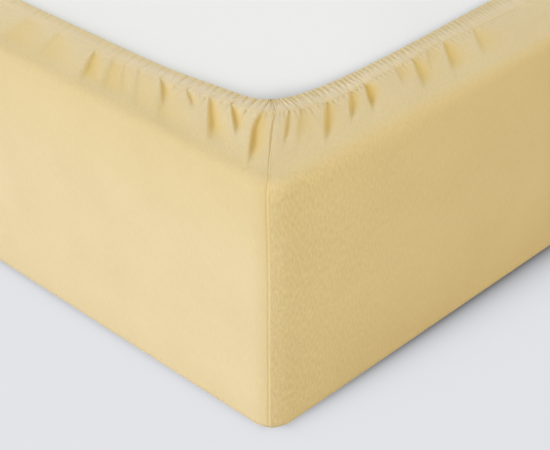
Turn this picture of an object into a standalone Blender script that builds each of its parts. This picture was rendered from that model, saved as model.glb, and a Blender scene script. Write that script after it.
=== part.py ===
"""Fitted sheet drawn over a single mattress that lies face down, so its gathered hem is on top.

Lengths are metres. The origin is on the floor under the middle of the mattress, +Z is up and
+Y runs along its length. The perimeter is walked anticlockwise from above. At each of its four
corners a place has two local coordinates: "across" is the distance from the wall that leaves
the corner, and "along" the distance from the wall that arrives at it. Along less across is
called "offset" here. It is zero on the corner's diagonal and grows steadily on the walk round
the corner. A "share" of the flap is 0 at the brim and 1 at the hem's stitches.
"""

import math
from typing import NamedTuple

import bmesh
import bpy

# The mattress and how the cloth lies on it.
MATTRESS_WIDTH = 0.900
MATTRESS_LENGTH = 2.000
BODY_HEIGHT = 0.220  # floor to the cloth's outer face at the brim
CLOTH = 0.0015
SNUG_GAP = 0.0003  # where cloth and mattress lie flat on each other
EDGE_GAP = 0.0020  # where the cloth is stretched past the mattress's walls and edges

# Roundings of the cloth's outer face.
CORNER_RADIUS = 0.022
FOOT_RADIUS = 0.010
BRIM_RADIUS = 0.009
BRIM_SOFT_RADIUS = 0.018  # where the foam gives, past each corner
BRIM_SOFT_AT = 0.110
BRIM_SOFT_SPREAD = 0.110

# The hem's lines, measured inwards from the cloth's walls.
STITCH_INSET = 0.0570
STITCH_BEND = 0.0180  # how far the stitches cut each corner
TUBE_INSET_END = 0.0670  # along the short walls
TUBE_INSET_SIDE = 0.0690  # along the long walls, near a corner
TUBE_INSET_SIDE_MIDDLE = 0.0745
TUBE_BEND = 0.0165
SLACK_START = 0.100  # the hem's pull eases along the long walls between these offsets
SLACK_END = 0.340

# The hem's section: a flat band inside the stitches, then the tube that holds the elastic.
TUBE_RADIUS = 0.0036
TUBE_TURNS = (120, 62, 0, -82)  # degrees round the tube, from its top on the band's side
STITCH_RISE = 0.0025  # of the stitches above the mattress
STITCH_PULL = 0.35  # share of a ridge's height that the stitches leave
BAND_CREST = 0.35  # share of the hem's width where the band swells most
BAND_SWELL = 0.0016
UNDERSIDE_AT = 0.45  # share of the hem's width where its underside turns up to the flap
UNDERSIDE_RISE = 0.3
HEM_LIFT = 0.0030  # of the hem at each corner, where the gathers bunch
HEM_LIFT_SPREAD = 0.060

# The turned-in flap between the brim and the hem.
FLAP_REST = 0.0022  # of its outer face above the mattress, in a fold's bottom
FLAP_SETTLED = 0.5  # share of the flap where it has come down to the mattress
FLAP_PUFF = 0.0060  # of its ridges above the folds' bottoms, at a corner
FLAP_PUFF_FAR = 0.0016
PUFF_SPREAD = 0.200
PUFF_FULL = 0.7  # share of the flap where the ridges reach that height
FOLD_DEEP = 0.35  # share of a fold's reach that has its whole depth
LEAN_START = 0.080  # the flap's lines keep to the corner's diagonal up to this offset
LEAN_END_SHORT = 0.380
LEAN_END_LONG = 0.600

# How finely the solids follow the shape.
FLAP_ROWS = (0.20, 0.48, 0.74, 0.92)  # shares of the flap
ARC_STEPS = 3
CORNER_STEPS = 6
WALL_STATIONS_BEFORE = (0.120, 0.060)  # walks from a corner's middle
WALL_STATIONS_AFTER = (0.045, 0.080, 0.120, 0.180, 0.280)
PLAIN_OFFSETS = (0.290, 0.370, 0.480, 0.620, 0.780)  # flap stations past the last fold
RIDGE_MIN_WIDTH = 0.004  # narrower ridges get no station of their own
STATION_MIN_PITCH = 0.0015
STATION_FOLD_MARGIN = 0.020  # kept between the last fold and a plain station
STATION_MIDDLE_MARGIN = 0.030  # kept between a plain station and the wall's middle

WALL_X = MATTRESS_WIDTH / 2 + EDGE_GAP + CLOTH
WALL_Y = MATTRESS_LENGTH / 2 + EDGE_GAP + CLOTH
WALL_OFFSET = CLOTH + EDGE_GAP
MATTRESS_BOTTOM = CLOTH + SNUG_GAP
MATTRESS_TOP = BODY_HEIGHT - WALL_OFFSET
CORNER_HALF_ARC = CORNER_RADIUS * math.pi / 4


def mix(a, b, share):
    """The value that share of the way from a to b."""
    return a + (b - a) * share


def smoothstep(low, high, value):
    """Smooth ramp from 0 at low to 1 at high."""
    t = min(1.0, max(0.0, (value - low) / (high - low)))
    return t * t * (3 - 2 * t)


def bump(value, middle, width):
    """Smooth bump of height 1 about the middle."""
    return math.exp(-(((value - middle) / width) ** 2))


class Line(NamedTuple):
    """A line across the flap, by its offset at the stitches and at its outer end."""

    hem: float
    outer: float
    reach: float  # share of the flap that it crosses before it keeps its offset

    def at(self, share):
        """Its offset at that share of the flap."""
        return mix(self.hem, self.outer, min(1.0, (1 - share) / self.reach))


class Fold(NamedTuple):
    """One valley that runs out from the hem: lengths in metres, depth and reach as shares."""

    offset: float
    drift: float  # how far it would shift on its way across the whole flap
    depth: float
    width: float
    reach: float

    def line(self, aside=0.0):
        """The line of its bottom, or one that runs beside it."""
        start = self.offset + aside
        return Line(start, start + self.drift * self.reach, self.reach)


FOLDS = (
    Fold(offset=-0.236, drift=0.003, depth=0.45, width=0.0060, reach=0.50),
    Fold(offset=-0.191, drift=0.002, depth=0.75, width=0.0060, reach=0.80),
    Fold(offset=-0.170, drift=0.003, depth=0.65, width=0.0065, reach=0.70),
    Fold(offset=-0.153, drift=0.013, depth=0.45, width=0.0050, reach=0.62),
    Fold(offset=-0.119, drift=0.019, depth=0.80, width=0.0050, reach=0.66),
    Fold(offset=-0.088, drift=0.017, depth=0.60, width=0.0040, reach=0.34),
    Fold(offset=-0.064, drift=0.005, depth=0.85, width=0.0060, reach=0.74),
    Fold(offset=-0.041, drift=0.012, depth=0.80, width=0.0045, reach=0.42),
    Fold(offset=-0.009, drift=-0.017, depth=1.00, width=0.0050, reach=0.88),
    Fold(offset=0.006, drift=-0.011, depth=0.85, width=0.0035, reach=0.96),
    Fold(offset=0.018, drift=-0.011, depth=0.60, width=0.0040, reach=0.56),
    Fold(offset=0.033, drift=-0.005, depth=0.45, width=0.0055, reach=0.54),
    Fold(offset=0.060, drift=-0.003, depth=0.80, width=0.0055, reach=0.84),
    Fold(offset=0.085, drift=-0.003, depth=0.75, width=0.0045, reach=0.64),
    Fold(offset=0.105, drift=0.003, depth=0.80, width=0.0050, reach=0.70),
    Fold(offset=0.138, drift=0.017, depth=0.45, width=0.0040, reach=0.38),
    Fold(offset=0.159, drift=0.010, depth=0.75, width=0.0055, reach=0.66),
    Fold(offset=0.178, drift=0.000, depth=0.40, width=0.0045, reach=0.46),
    Fold(offset=0.199, drift=0.001, depth=0.75, width=0.0060, reach=0.74),
    Fold(offset=0.236, drift=0.003, depth=0.50, width=0.0055, reach=0.66),
)


class Corner(NamedTuple):
    """One corner of the mattress, by its quarter turns from the one at +X, -Y."""

    turns: int
    spread: float  # how much further apart its folds lie
    depth: float  # how deep they are, against the table's
    mirrored: bool

    @property
    def arriving_half(self):
        """Half the length of the wall that arrives at this corner."""
        return WALL_Y if self.turns % 2 else WALL_X

    @property
    def leaving_half(self):
        """Half the length of the wall that leaves this corner."""
        return WALL_X if self.turns % 2 else WALL_Y

    def half(self, offset):
        """Half the length of the wall that this offset or walk lies on."""
        return self.arriving_half if offset < 0 else self.leaving_half

    def to_plan(self, across, along):
        """Plan position of a place that is given by its distances from the two walls."""
        x, y = self.arriving_half - across, along - self.leaving_half
        for _ in range(self.turns):
            x, y = -y, x
        return x, y

    def folds(self):
        """The folds here, in order round the perimeter."""
        sign = -1 if self.mirrored else 1
        rows = [
            fold._replace(
                offset=sign * fold.offset * self.spread,
                drift=sign * fold.drift,
                depth=fold.depth * self.depth,
            )
            for fold in FOLDS
        ]
        return sorted(rows)


CORNERS = (
    Corner(turns=0, spread=1.00, depth=1.00, mirrored=False),
    Corner(turns=1, spread=1.06, depth=0.92, mirrored=True),
    Corner(turns=2, spread=0.96, depth=0.96, mirrored=False),
    Corner(turns=3, spread=1.03, depth=0.90, mirrored=True),
)


def wall_point(corner, walk, inset):
    """Plan position at an inset from the walls, by the walk along them from the corner's middle."""
    past_arc = abs(walk) - CORNER_HALF_ARC
    if past_arc <= 0:
        angle = math.pi / 4 + walk / CORNER_RADIUS
        radius = CORNER_RADIUS - inset
        return corner.to_plan(
            CORNER_RADIUS - radius * math.sin(angle), CORNER_RADIUS - radius * math.cos(angle)
        )
    if walk < 0:
        return corner.to_plan(CORNER_RADIUS + past_arc, inset)
    return corner.to_plan(inset, CORNER_RADIUS + past_arc)


def brim_radius(walk):
    """Outer rounding of the upper edge: softer just past the corner."""
    return mix(BRIM_RADIUS, BRIM_SOFT_RADIUS, bump(walk, BRIM_SOFT_AT, BRIM_SOFT_SPREAD))


def hem_point(corner, offset, inset_arriving, inset_leaving, bend):
    """Plan position on a line that follows both walls and cuts the corner in one smooth bend."""
    gap = offset - (inset_arriving - inset_leaving)
    root = math.sqrt(gap * gap + 4 * bend * bend)
    return corner.to_plan(inset_leaving + (root - gap) / 2, inset_arriving + (root + gap) / 2)


def stitch_point(corner, offset):
    """Plan position of the stitch line, where the flap ends and the hem begins."""
    return hem_point(corner, offset, STITCH_INSET, STITCH_INSET, STITCH_BEND)


def tube_inset(half, offset):
    """How far the hem's tube lies in from a wall that is twice half long."""
    if half < WALL_Y:
        return TUBE_INSET_END
    slack = smoothstep(SLACK_START, SLACK_END, abs(offset))
    return mix(TUBE_INSET_SIDE, TUBE_INSET_SIDE_MIDDLE, slack)


def tube_point(corner, offset):
    """Plan position of the middle of the hem's tube."""
    arriving = tube_inset(corner.arriving_half, offset)
    leaving = tube_inset(corner.leaving_half, offset)
    return hem_point(corner, offset, arriving, leaving, TUBE_BEND)


def brim_point(corner, offset):
    """Plan position on the brim that the stitches at this offset pull on."""
    lean_end = LEAN_END_SHORT if corner.half(offset) < WALL_Y else LEAN_END_LONG
    straight = smoothstep(LEAN_START, lean_end, abs(offset))
    distance = abs(offset) + STITCH_INSET * straight
    inset = brim_radius(math.copysign(distance, offset))
    radius = CORNER_RADIUS - inset
    if distance < radius:
        walk = CORNER_RADIUS * math.asin(distance / (radius * math.sqrt(2)))
    else:
        walk = CORNER_HALF_ARC + distance - radius
    return wall_point(corner, math.copysign(walk, offset), inset)


def relief(corner, offset, share):
    """Height of the flap's ridges and folds above the folds' bottoms."""
    puff = mix(FLAP_PUFF_FAR, FLAP_PUFF, bump(offset, 0.0, PUFF_SPREAD))
    notch = 0.0
    for fold in corner.folds():
        valley = bump(offset, fold.line().at(share), fold.width)
        fade = smoothstep(1 - fold.reach, 1 - FOLD_DEEP * fold.reach, share)
        notch = max(notch, fold.depth * valley * fade)
    return puff * smoothstep(0.0, PUFF_FULL, share) * (1 - notch)


def flap_height(corner, offset, share):
    """Height of the flap's outer face."""
    settled = smoothstep(0.0, FLAP_SETTLED, share)
    lying = mix(BODY_HEIGHT, MATTRESS_TOP + FLAP_REST, settled)
    return lying + relief(corner, offset, share)


def hem_section(corner, offset):
    """Points of the hem's outer face, from the stitches over the tube and back underneath."""
    sx, sy = stitch_point(corner, offset)
    tx, ty = tube_point(corner, offset)
    width = math.hypot(tx - sx, ty - sy)
    ux, uy = (tx - sx) / width, (ty - sy) / width
    lift = HEM_LIFT * bump(offset, 0.0, HEM_LIFT_SPREAD)
    centre = MATTRESS_TOP + SNUG_GAP + lift + TUBE_RADIUS
    stitch = MATTRESS_TOP + STITCH_RISE + lift + STITCH_PULL * relief(corner, offset, 1.0)
    underside = mix(centre - TUBE_RADIUS, stitch, UNDERSIDE_RISE)
    profile = [(0.0, stitch), (BAND_CREST * width, max(stitch, centre) + BAND_SWELL)]
    for degrees in TUBE_TURNS:
        turn = math.radians(degrees)
        profile.append((width + TUBE_RADIUS * math.cos(turn), centre + TUBE_RADIUS * math.sin(turn)))
    profile.append((UNDERSIDE_AT * width, underside))
    return [(sx + ux * inwards, sy + uy * inwards, z) for inwards, z in profile]


def flap_lines(corner):
    """Lines across the flap at one corner: each fold's bottom and flanks, and the ridges."""
    start, end = -(corner.arriving_half - STITCH_INSET), corner.leaving_half - STITCH_INSET
    folds = corner.folds()
    lines = [Line(start, start, 1.0)]
    for fold in folds:
        lines += [fold.line(-fold.width), fold.line(), fold.line(fold.width)]
    for fold, following in zip(folds, folds[1:]):
        left, right = fold.line(fold.width), following.line(-following.width)
        if right.hem - left.hem > RIDGE_MIN_WIDTH:
            lines.append(Line(*(mix(a, b, 0.5) for a, b in zip(left, right))))
    first = folds[0].offset - STATION_FOLD_MARGIN
    last = folds[-1].offset + STATION_FOLD_MARGIN
    for offset in PLAIN_OFFSETS:
        if start + STATION_MIDDLE_MARGIN < -offset < first:
            lines.append(Line(-offset, -offset, 1.0))
        if last < offset < end - STATION_MIDDLE_MARGIN:
            lines.append(Line(offset, offset, 1.0))
    return spaced(sorted(lines))


def spaced(lines):
    """The sorted lines, without those that come too near the one before."""
    kept = lines[:1]
    for line in lines[1:]:
        pitch = min(line.at(share) - kept[-1].at(share) for share in (*FLAP_ROWS, 1.0))
        if pitch >= STATION_MIN_PITCH:
            kept.append(line)
    return kept


def flap_stations():
    """(corner, line) of each station of the flap and the hem, round the perimeter."""
    return [(corner, line) for corner in CORNERS for line in flap_lines(corner)]


def wall_stations():
    """(corner, walk) of each station of the walls, round the perimeter."""
    found = []
    arc = [CORNER_HALF_ARC * (2 * i / CORNER_STEPS - 1) for i in range(CORNER_STEPS + 1)]
    for corner in CORNERS:
        middle = CORNER_HALF_ARC + corner.arriving_half - CORNER_RADIUS
        before = [-walk for walk in WALL_STATIONS_BEFORE]
        found += [(corner, walk) for walk in (-middle, *before, *arc, *WALL_STATIONS_AFTER)]
    return found


def wall_places(stations):
    """Place of each wall station: a number that grows by 1 from one corner to the next."""
    found = []
    for corner, walk in stations:
        to_middle = CORNER_HALF_ARC + corner.half(walk) - CORNER_RADIUS
        found.append(corner.turns + 0.5 * walk / to_middle)
    return found


def flap_places(stations):
    """Place of each flap station, by its offset at the flap's outermost row."""
    found = []
    for corner, line in stations:
        offset = line.at(FLAP_ROWS[0])
        found.append(corner.turns + 0.5 * offset / (corner.half(offset) - STITCH_INSET))
    return found


def block_rings(stations, shrink, bottom, top):
    """Rings of points up a rounded block's wall, from its flat bottom to its flat top.

    shrink is how far the block's wall lies inside the cloth's outer face.
    """
    turns = [math.pi / 2 * step / ARC_STEPS for step in range(ARC_STEPS + 1)]
    rings = []
    for turn in turns:
        radius = FOOT_RADIUS - shrink
        inset = shrink + radius * (1 - math.sin(turn))
        height = bottom + radius * (1 - math.cos(turn))
        rings.append([(*wall_point(c, walk, inset), height) for c, walk in stations])
    for turn in turns:
        points = []
        for corner, walk in stations:
            radius = brim_radius(walk) - shrink
            inset = shrink + radius * (1 - math.cos(turn))
            points.append((*wall_point(corner, walk, inset), top - radius * (1 - math.sin(turn))))
        rings.append(points)
    return rings


def flap_ring(stations, share, below):
    """Ring of points round the flap at one share, a given depth below its outer face."""
    points = []
    for corner, line in stations:
        offset = line.at(share)
        bx, by = brim_point(corner, offset)
        sx, sy = stitch_point(corner, offset)
        height = flap_height(corner, offset, share) - below
        points.append((mix(bx, sx, share), mix(by, sy, share), height))
    return points


def add_ring(mesh, points):
    """A closed ring of new vertices."""
    return [mesh.verts.new(point) for point in points]


def bridge(mesh, rings):
    """Quads between each ring and the next, which have a vertex for each other."""
    for lower, upper in zip(rings, rings[1:]):
        for i, start in enumerate(lower):
            after = (i + 1) % len(lower)
            mesh.faces.new((start, lower[after], upper[after], upper[i]))


def zip_rings(mesh, coarse, fine, coarse_at, fine_at):
    """Triangles between two rings, matched by each vertex's place round the perimeter."""
    coarse_at = coarse_at + [coarse_at[0] + len(CORNERS)]
    fine_at = fine_at + [fine_at[0] + len(CORNERS)]
    i = j = 0
    while i < len(coarse) or j < len(fine):
        here, there = coarse[i % len(coarse)], fine[j % len(fine)]
        fine_done = j == len(fine)
        if fine_done or (i < len(coarse) and coarse_at[i + 1] <= fine_at[j + 1]):
            i += 1
            mesh.faces.new((here, coarse[i % len(coarse)], there))
        else:
            j += 1
            mesh.faces.new((here, fine[j % len(fine)], there))


def make_object(name, mesh, material):
    """Object from a finished bmesh, with its faces turned outwards and its round parts smooth."""
    bmesh.ops.recalc_face_normals(mesh, faces=mesh.faces)
    data = bpy.data.meshes.new(name)
    mesh.to_mesh(data)
    mesh.free()
    data.materials.append(material)
    data.shade_smooth()
    data.set_sharp_from_angle(angle=math.radians(60))
    item = bpy.data.objects.new(name, data)
    bpy.context.scene.collection.objects.link(item)


def make_material(name, colour, roughness):
    """Plain cloth finish."""
    material = bpy.data.materials.new(name)
    material.use_nodes = True
    shader = material.node_tree.nodes["Principled BSDF"]
    shader.inputs["Base Color"].default_value = (*colour, 1.0)
    shader.inputs["Roughness"].default_value = roughness
    shader.inputs["Metallic"].default_value = 0.0
    return material


def make_mattress():
    """The foam block in its plain white cover."""
    mesh = bmesh.new()
    levels = block_rings(wall_stations(), WALL_OFFSET, MATTRESS_BOTTOM, MATTRESS_TOP)
    rings = [add_ring(mesh, points) for points in levels]
    bridge(mesh, rings)
    mesh.faces.new(rings[0])
    mesh.faces.new(rings[-1])
    make_object("mattress", mesh, make_material("mattress_cover", (0.91, 0.91, 0.92), 0.9))


def make_sheet():
    """The cloth in one piece: under the mattress, up its walls and in over it, with its hem."""
    walls, flap = wall_stations(), flap_stations()
    walls_at, flap_at = wall_places(walls), flap_places(flap)
    mesh = bmesh.new()

    body_rings = []
    for below in (0.0, CLOTH):
        levels = block_rings(walls, below, below, BODY_HEIGHT - below)
        rings = [add_ring(mesh, points) for points in levels]
        mesh.faces.new(rings[0])
        bridge(mesh, rings)
        body_rings.append(rings)

    outer_flap = [add_ring(mesh, flap_ring(flap, share, 0.0)) for share in FLAP_ROWS]
    inner_flap = [add_ring(mesh, flap_ring(flap, share, CLOTH)) for share in FLAP_ROWS]
    sections = [hem_section(corner, line.hem) for corner, line in flap]
    hem = [add_ring(mesh, points) for points in zip(*sections)]
    bridge(mesh, outer_flap + hem + inner_flap[::-1])

    for rings, flap_rings in zip(body_rings, (outer_flap, inner_flap)):
        zip_rings(mesh, rings[-1], flap_rings[0], walls_at, flap_at)
    make_object("fitted_sheet", mesh, make_material("jersey", (0.74, 0.60, 0.34), 0.95))


def main():
    """Builds the mattress and the sheet on it in an empty scene."""
    for item in list(bpy.data.objects):
        bpy.data.objects.remove(item, do_unlink=True)
    make_mattress()
    make_sheet()


main()
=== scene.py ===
"""The finished fitted sheet on its mattress: cloth with its gathers, hem, seams, cover and studio.

Lengths are metres, in the frame's own axes: +Z up, +Y along the mattress, the floor at zero.
The perimeter is walked anticlockwise from above. Round each of its four corners a place on the
turned-in flap is given by its "offset" (distance along, less distance across, from the corner)
and by its "share" of the way from the brim, 0, to the hem's stitches, 1.
"""

import logging
import math
from dataclasses import dataclass, field, replace
from enum import Enum

import bpy
import numpy as np
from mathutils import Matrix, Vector


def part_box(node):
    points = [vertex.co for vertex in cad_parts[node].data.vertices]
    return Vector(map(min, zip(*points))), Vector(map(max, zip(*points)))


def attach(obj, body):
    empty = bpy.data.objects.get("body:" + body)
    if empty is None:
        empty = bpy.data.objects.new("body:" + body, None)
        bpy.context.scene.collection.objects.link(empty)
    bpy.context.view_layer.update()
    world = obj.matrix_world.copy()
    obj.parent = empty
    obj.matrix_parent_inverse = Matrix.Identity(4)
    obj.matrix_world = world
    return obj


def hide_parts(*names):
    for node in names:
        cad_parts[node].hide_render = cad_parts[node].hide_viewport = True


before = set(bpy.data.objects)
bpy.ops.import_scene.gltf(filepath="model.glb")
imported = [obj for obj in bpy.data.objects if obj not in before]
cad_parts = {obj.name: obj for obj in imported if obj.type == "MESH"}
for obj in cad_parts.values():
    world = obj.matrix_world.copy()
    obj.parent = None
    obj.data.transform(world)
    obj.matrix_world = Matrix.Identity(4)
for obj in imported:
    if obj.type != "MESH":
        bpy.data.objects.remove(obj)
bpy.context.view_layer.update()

log = logging.getLogger("fitted_sheet")
Array = np.ndarray
Rgb = tuple[float, float, float]
Steps = tuple[tuple[float, float], ...]
SEED = 41


class Slot(Enum):
    """The record's material slots."""

    JERSEY = "jersey"
    COVER = "mattress_cover"


class Wall(Enum):
    """The two kinds of wall that meet at a corner."""

    END = "short"
    SIDE = "long"


def mix(a: Array | float, b: Array | float, share: Array | float) -> Array | float:
    """The value that share of the way from a to b."""
    return a + (b - a) * share


def smoothstep(low: Array | float, high: Array | float, value: Array | float) -> Array:
    """Smooth ramp from 0 at low to 1 at high."""
    t = np.clip((value - low) / (high - low), 0.0, 1.0)
    return t * t * (3 - 2 * t)


def bump(value: Array | float, middle: Array | float, width: Array | float) -> Array:
    """Smooth bump of height 1 about the middle."""
    return np.exp(-(((value - middle) / width) ** 2))


# ------------------------------------------------------------------------------ the cloth's lie


@dataclass(frozen=True)
class Fold:
    """One valley of the flap that runs out from the hem, measured at the corner that shows.

    offset is at the stitches, hook its shift close to them and drift the steady one on the way
    across the whole flap. width is half the valley's, reach the share of the flap that it
    crosses, hold the share of that at its full depth, lean how far a flank hangs over it, and
    flare how wide it is where it ends, against its upper third. edge is how dark the painted
    shade on the rim of its steeper flank is.
    """

    offset: float
    drift: float
    depth: float
    width: float
    reach: float
    hook: float = 0.0
    hold: float = 0.35
    lean: float = 0.0
    flare: float = 0.65
    edge: float = 0.0

    def at(self, share: Array | float) -> Array | float:
        """Offset of its bottom at that share of the flap."""
        out = 1 - share
        return self.offset + self.drift * out + self.hook * (1 - np.exp(-out / HOOK_SPREAD))


HOOK_SPREAD = 0.18

FOLDS = (
    Fold(offset=-0.2750, drift=0.0030, depth=0.30, width=0.0110, reach=1.00, hold=0.60, flare=1.50),
    Fold(offset=-0.2360, drift=0.0030, depth=0.32, width=0.0090, reach=1.00, hold=0.50, flare=1.50),
    Fold(offset=-0.1920, drift=0.0030, depth=0.54, width=0.0054, reach=1.00, hold=0.45, flare=1.70,
         edge=0.05),
    Fold(offset=-0.1695, drift=0.0030, depth=0.38, width=0.0085, reach=1.00, hold=0.50, flare=1.50),
    Fold(offset=-0.1560, drift=0.0100, depth=0.20, width=0.0070, reach=0.90, flare=1.50),
    Fold(offset=-0.1400, drift=0.0040, depth=0.22, width=0.0090, reach=1.00, hook=0.002, hold=0.60,
         flare=1.50),
    Fold(offset=-0.1165, drift=0.0020, depth=0.60, width=0.0036, reach=0.60, hook=0.005, hold=0.30,
         edge=0.10),
    Fold(offset=-0.1110, drift=0.0010, depth=0.26, width=0.0090, reach=1.00, hold=0.70, flare=1.30),
    Fold(offset=-0.0875, drift=0.0120, depth=0.47, width=0.0030, reach=0.36, hook=0.004, edge=0.06),
    Fold(offset=-0.0625, drift=0.0040, depth=0.62, width=0.0044, reach=0.90, hold=0.45, flare=1.70),
    Fold(offset=-0.0400, drift=0.0050, depth=0.68, width=0.0034, reach=0.55, hook=0.003, hold=0.45,
         edge=0.10),
    Fold(offset=-0.0075, drift=-0.0050, depth=0.66, width=0.0048, reach=0.98, hook=-0.0095,
         hold=0.50, lean=0.0014, flare=0.70, edge=0.09),
    Fold(offset=0.0060, drift=-0.0050, depth=0.22, width=0.0012, reach=0.85, hook=-0.0046, hold=0.40),
    Fold(offset=0.0195, drift=-0.0115, depth=0.47, width=0.0024, reach=0.62, hold=0.45),
    Fold(offset=0.0330, drift=-0.0050, depth=0.30, width=0.0060, reach=0.80, flare=1.20),
    Fold(offset=0.0600, drift=-0.0045, depth=0.58, width=0.0042, reach=0.95, hold=0.50, flare=0.75),
    Fold(offset=0.0865, drift=-0.0030, depth=0.60, width=0.0038, reach=0.78, hold=0.45),
    Fold(offset=0.1020, drift=0.0040, depth=0.74, width=0.0040, reach=0.78, hook=0.003, hold=0.45,
         edge=0.08),
    Fold(offset=0.1390, drift=0.0100, depth=0.36, width=0.0056, reach=0.60, hook=0.002, flare=1.10),
    Fold(offset=0.1590, drift=0.0070, depth=0.55, width=0.0048, reach=0.95, hook=0.002, hold=0.45,
         flare=1.60),
    Fold(offset=0.1780, drift=0.0000, depth=0.29, width=0.0056, reach=0.60, flare=1.10),
    Fold(offset=0.1985, drift=0.0030, depth=0.55, width=0.0054, reach=0.95, hold=0.45, flare=1.70),
    Fold(offset=0.2360, drift=0.0030, depth=0.36, width=0.0070, reach=0.90, hold=0.45, flare=1.50),
)  # fmt: skip


@dataclass(frozen=True)
class Lie:
    """How the cloth lies round the mattress: sizes from the frame, and its own roundings."""

    wall_x: float
    wall_y: float
    mattress_top: float
    edge_gap: float = 0.0020
    cloth: float = 0.0015
    snug_gap: float = 0.0003
    corner_radius: float = 0.022
    foot_radius: float = 0.010
    brim_radius: float = 0.009
    brim_soft_radius: float = 0.015
    brim_soft_at: float = 0.110
    brim_soft_spread: float = 0.110

    @classmethod
    def from_frame(cls) -> "Lie":
        """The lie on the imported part.

        Returns:
            The sizes that the cloth's and the mattress's boxes give, with the usual roundings.
        """
        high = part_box("fitted_sheet")[1]
        return cls(wall_x=high.x, wall_y=high.y, mattress_top=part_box("mattress")[1].z)

    @property
    def inside(self) -> float:
        """Distance from the cloth's outer face in to the mattress."""
        return self.cloth + self.edge_gap

    @property
    def height(self) -> float:
        """Height of the cloth's outer face at the brim."""
        return self.mattress_top + self.inside

    @property
    def half_arc(self) -> float:
        """Walk from a corner's middle to the end of its rounding."""
        return self.corner_radius * math.pi / 4

    def soft_brim(self, walk: Array) -> Array:
        """Rounding of the brim: softer past each corner, where the foam gives."""
        softness = bump(walk, self.brim_soft_at, self.brim_soft_spread)
        return mix(self.brim_radius, self.brim_soft_radius, softness)


@dataclass(frozen=True)
class Corner:
    """One corner of the mattress, by its quarter turns from the one at +X, -Y.

    spread, depth and mirrored vary its folds from the table's.
    """

    lie: Lie
    turns: int
    spread: float
    depth: float
    mirrored: bool

    @property
    def sign(self) -> int:
        """-1 where the folds lie the other way round from the table's."""
        return -1 if self.mirrored else 1

    def wall(self, leaving: bool) -> Wall:
        """Which wall leaves, or arrives at, this corner."""
        return Wall.SIDE if bool(self.turns % 2) != leaving else Wall.END

    def half(self, leaving: bool) -> float:
        """Half the length of that wall."""
        return self.lie.wall_y if self.wall(leaving) is Wall.SIDE else self.lie.wall_x

    def halves(self, offset: Array) -> Array:
        """Half the length of the wall that each offset lies on."""
        return np.where(offset < 0, self.half(False), self.half(True))

    def on_side(self, offset: Array) -> Array:
        """Whether each offset lies on the long wall."""
        return self.halves(offset) > self.lie.wall_x

    def towards_side(self, offset: Array, low: float, high: float) -> Array:
        """1 on the long wall and 0 on the end wall, changing smoothly between two offsets."""
        past = smoothstep(low, high, offset)
        return past if self.wall(True) is Wall.SIDE else 1 - past

    def to_plan(self, across: Array, along: Array) -> tuple[Array, Array]:
        """Plan position of places given by their distances from the two walls.

        Args:
            across: Distance in from the wall that leaves the corner.
            along: Distance in from the wall that arrives at it.

        Returns:
            The x and y of each.
        """
        x, y = self.half(False) - across, along - self.half(True)
        for _ in range(self.turns):
            x, y = -y, x
        return x, y

    def folds(self) -> list[Fold]:
        """The folds of the table, as they lie at this corner."""
        return [
            replace(
                fold,
                offset=self.sign * fold.offset * self.spread,
                drift=self.sign * fold.drift,
                hook=self.sign * fold.hook,
                lean=self.sign * fold.lean,
                depth=fold.depth * self.depth,
            )
            for fold in FOLDS
        ]


def make_corners(lie: Lie) -> list[Corner]:
    """The four corners, in the order of the walk.

    Args:
        lie: The sizes that they share.

    Returns:
        The corners.
    """
    return [
        Corner(lie, turns=0, spread=1.00, depth=1.00, mirrored=False),
        Corner(lie, turns=1, spread=1.06, depth=0.92, mirrored=True),
        Corner(lie, turns=2, spread=0.96, depth=0.96, mirrored=False),
        Corner(lie, turns=3, spread=1.03, depth=0.90, mirrored=True),
    ]


@dataclass(frozen=True)
class Gather:
    """One kind of small valley drawn up by the elastic, at uneven distances.

    Its pitches are those along the two walls of the corner that shows. least is the depth of the
    shallowest, reach how far out on the flap they die away, sharpness how steep their flanks are,
    and turn how far from the corner the one pitch has become the other.
    """

    pitch_arriving: float
    pitch_leaving: float
    width: float
    unevenness: float
    least: float
    reach: tuple[float, float] = (0.0025, 0.0075)
    sharpness: float = 1.4
    turn: float = 0.012


MAIN_GATHERS = Gather(
    pitch_arriving=0.0078, pitch_leaving=0.0050, width=0.0009, unevenness=0.26, least=0.45
)
FINE_GATHERS = Gather(
    pitch_arriving=0.0026, pitch_leaving=0.0024, width=0.0008, unevenness=0.35, least=0.15
)


class Puckers:
    """The small valleys that run over the hem of one corner, square to it."""

    def __init__(self, corner: Corner, gather: Gather) -> None:
        """Draws the valleys' places, depths and reaches.

        Args:
            corner: The corner that they run round.
            gather: Their kind.
        """
        rng = np.random.default_rng(SEED + corner.turns)
        pitches = (gather.pitch_arriving, gather.pitch_leaving)
        if corner.mirrored:
            pitches = pitches[::-1]
        found = [-corner.half(False)]
        while found[-1] < corner.half(True):
            pitch = float(mix(*pitches, smoothstep(-gather.turn, gather.turn, found[-1])))
            found.append(found[-1] + pitch * rng.uniform(1 - gather.unevenness, 1 + gather.unevenness))
        self.gather = gather
        self.places = np.array(found)
        self.depths = rng.uniform(gather.least, 1.0, len(found))
        self.reaches = rng.uniform(*gather.reach, len(found))

    def _nearest(self, offset: Array) -> Array:
        """Index of the valley nearest to each offset."""
        k = np.clip(np.searchsorted(self.places, offset), 1, len(self.places) - 1)
        return k - (offset - self.places[k - 1] < self.places[k] - offset)

    def relief(self, offset: Array, below: float = 0.0) -> Array:
        """How deep the valleys are: 0 on the backs between them, 1 in the deepest.

        Args:
            offset: Where, along the hem.
            below: Distance out from the stitches, where they die away.

        Returns:
            The depth at each offset.
        """
        k = self._nearest(offset)
        away = np.abs(offset - self.places[k]) / self.gather.width
        return self.depths[k] * np.exp(-(away**self.gather.sharpness)) * np.exp(-below / self.reaches[k])


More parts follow.
